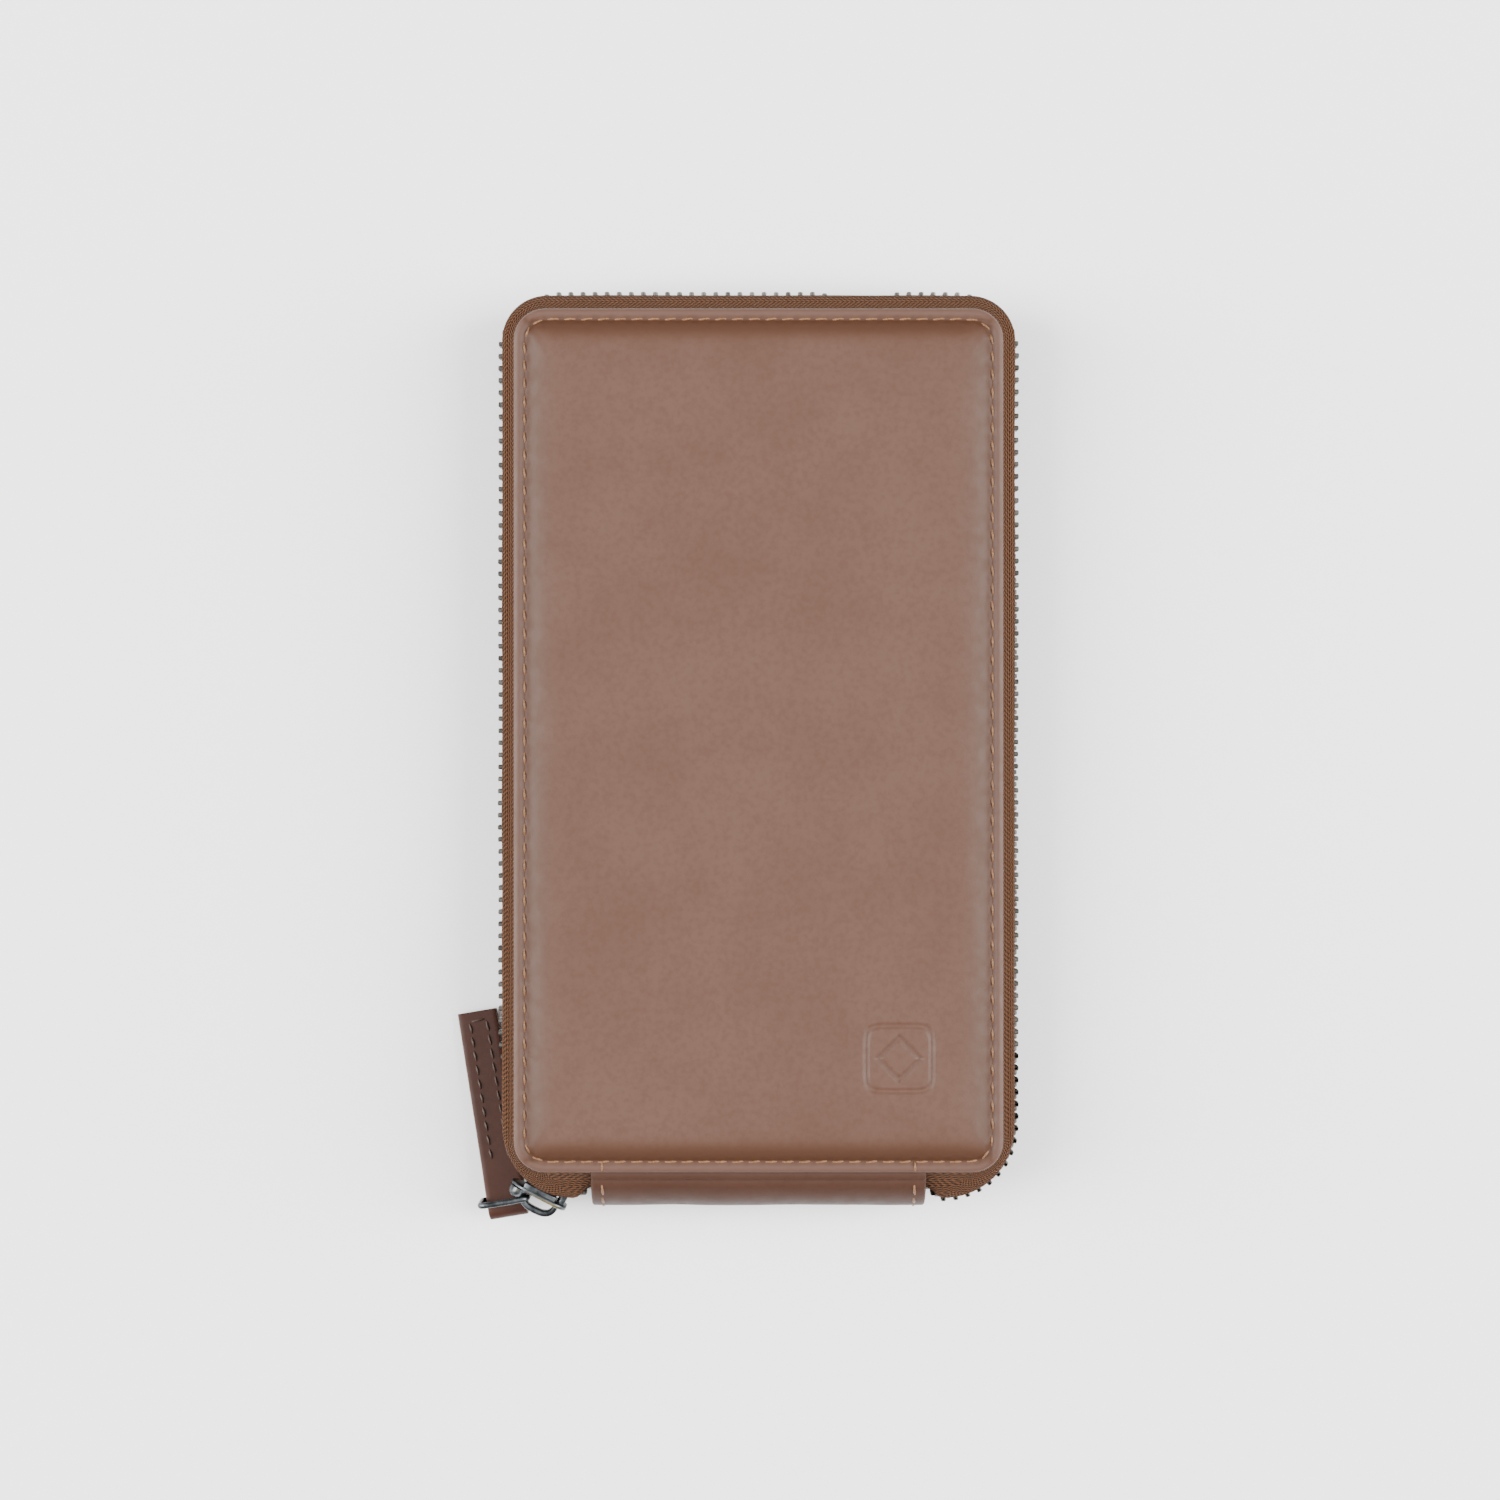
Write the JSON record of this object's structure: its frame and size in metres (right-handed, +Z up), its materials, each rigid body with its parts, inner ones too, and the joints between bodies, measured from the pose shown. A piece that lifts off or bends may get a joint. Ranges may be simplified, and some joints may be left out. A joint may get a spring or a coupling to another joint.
{
  "type": "zip-around pouch",
  "caption": "Flat leather clamshell pouch: two padded covers on a leather spine, closed by a metal zip round three sides with a slider, ring and leather pull tab.",
  "frame": {"origin": "middle of the flat face of the back cover, which the pouch lies on", "axes": "+Z up through the closed pouch towards the front cover, +Y away from the spine along the long side, +X to the right"},
  "size_m": [0.1191, 0.1953, 0.026],
  "materials": {
    "cover_leather": "smooth aniline cowhide, satin, mid brown",
    "spine_leather": "smooth cowhide, satin, darker brown",
    "tab_leather": "smooth cowhide, satin, dark brown",
    "pocket_leather": "thin split leather, matt, brown",
    "foam": "soft wadding, matt, cream",
    "board": "stiffener sheet, matt, grey",
    "lining": "woven twill lining, matt, dark brown",
    "zip_tape": "woven cotton tape, matt, brown",
    "thread": "twisted thread, satin, tan",
    "tab_thread": "twisted thread, satin, dark brown",
    "zip_teeth": "antique brass, satin",
    "slider_brass": "antique brass, polished high spots"
  },
  "bodies": {
    "back_shell": {"back_cover": "cover_leather", "back_pad": "foam", "back_board": "board", "back_lining": "lining", "back_seam_thread": "thread", "back_zip_tape": "zip_tape", "back_zip_teeth": "zip_teeth", "back_slip_pocket": "pocket_leather"},
    "spine": {"spine_leather": "spine_leather", "spine_lining": "lining", "spine_thread": "thread"},
    "front_shell": {"front_cover": "cover_leather", "front_pad": "foam", "front_board": "board", "front_lining": "lining", "front_seam_thread": "thread", "front_zip_tape": "zip_tape", "front_zip_teeth": "zip_teeth", "card_slot_1": "pocket_leather", "card_slot_2": "pocket_leather", "card_slot_3": "pocket_leather"},
    "slider": {"slider_body": "slider_brass", "slider_bridge": "slider_brass"},
    "ring": {"pull_ring": "slider_brass"},
    "tab": {"pull_tab": "tab_leather", "pull_tab_thread": "tab_thread"}
  },
  "joints": [
    {"name": "spine_fold", "type": "hinge", "parent": "back_shell", "child": "spine", "pos_m": [0, -0.0911, 0.0042], "axis": [1, 0, 0], "range_deg": [0, 90]},
    {"name": "front_fold", "type": "hinge", "parent": "spine", "child": "front_shell", "pos_m": [0, -0.0911, 0.0218], "axis": [1, 0, 0], "range_deg": [0, 90]},
    {"name": "slider_travel", "type": "hinge", "parent": "back_shell", "child": "slider", "pos_m": [-0.0388, -0.081, 0.013], "axis": [0, 0, 1], "range_deg": [-58, 0]},
    {"name": "ring_turn", "type": "hinge", "parent": "slider", "child": "ring", "pos_m": [-0.04868, -0.09643, 0.013], "axis": [0, 0, 1], "range_deg": [0, 58]},
    {"name": "tab_swing", "type": "hinge", "parent": "ring", "child": "tab", "pos_m": [-0.05371, -0.09727, 0.0061], "axis": [0.9863, 0.165, 0], "range_deg": [-60, 0]}
  ],
  "couplings": [
    {"joint": "front_fold", "follows": "spine_fold", "ratio": 1},
    {"joint": "ring_turn", "follows": "slider_travel", "ratio": -1}
  ]
}
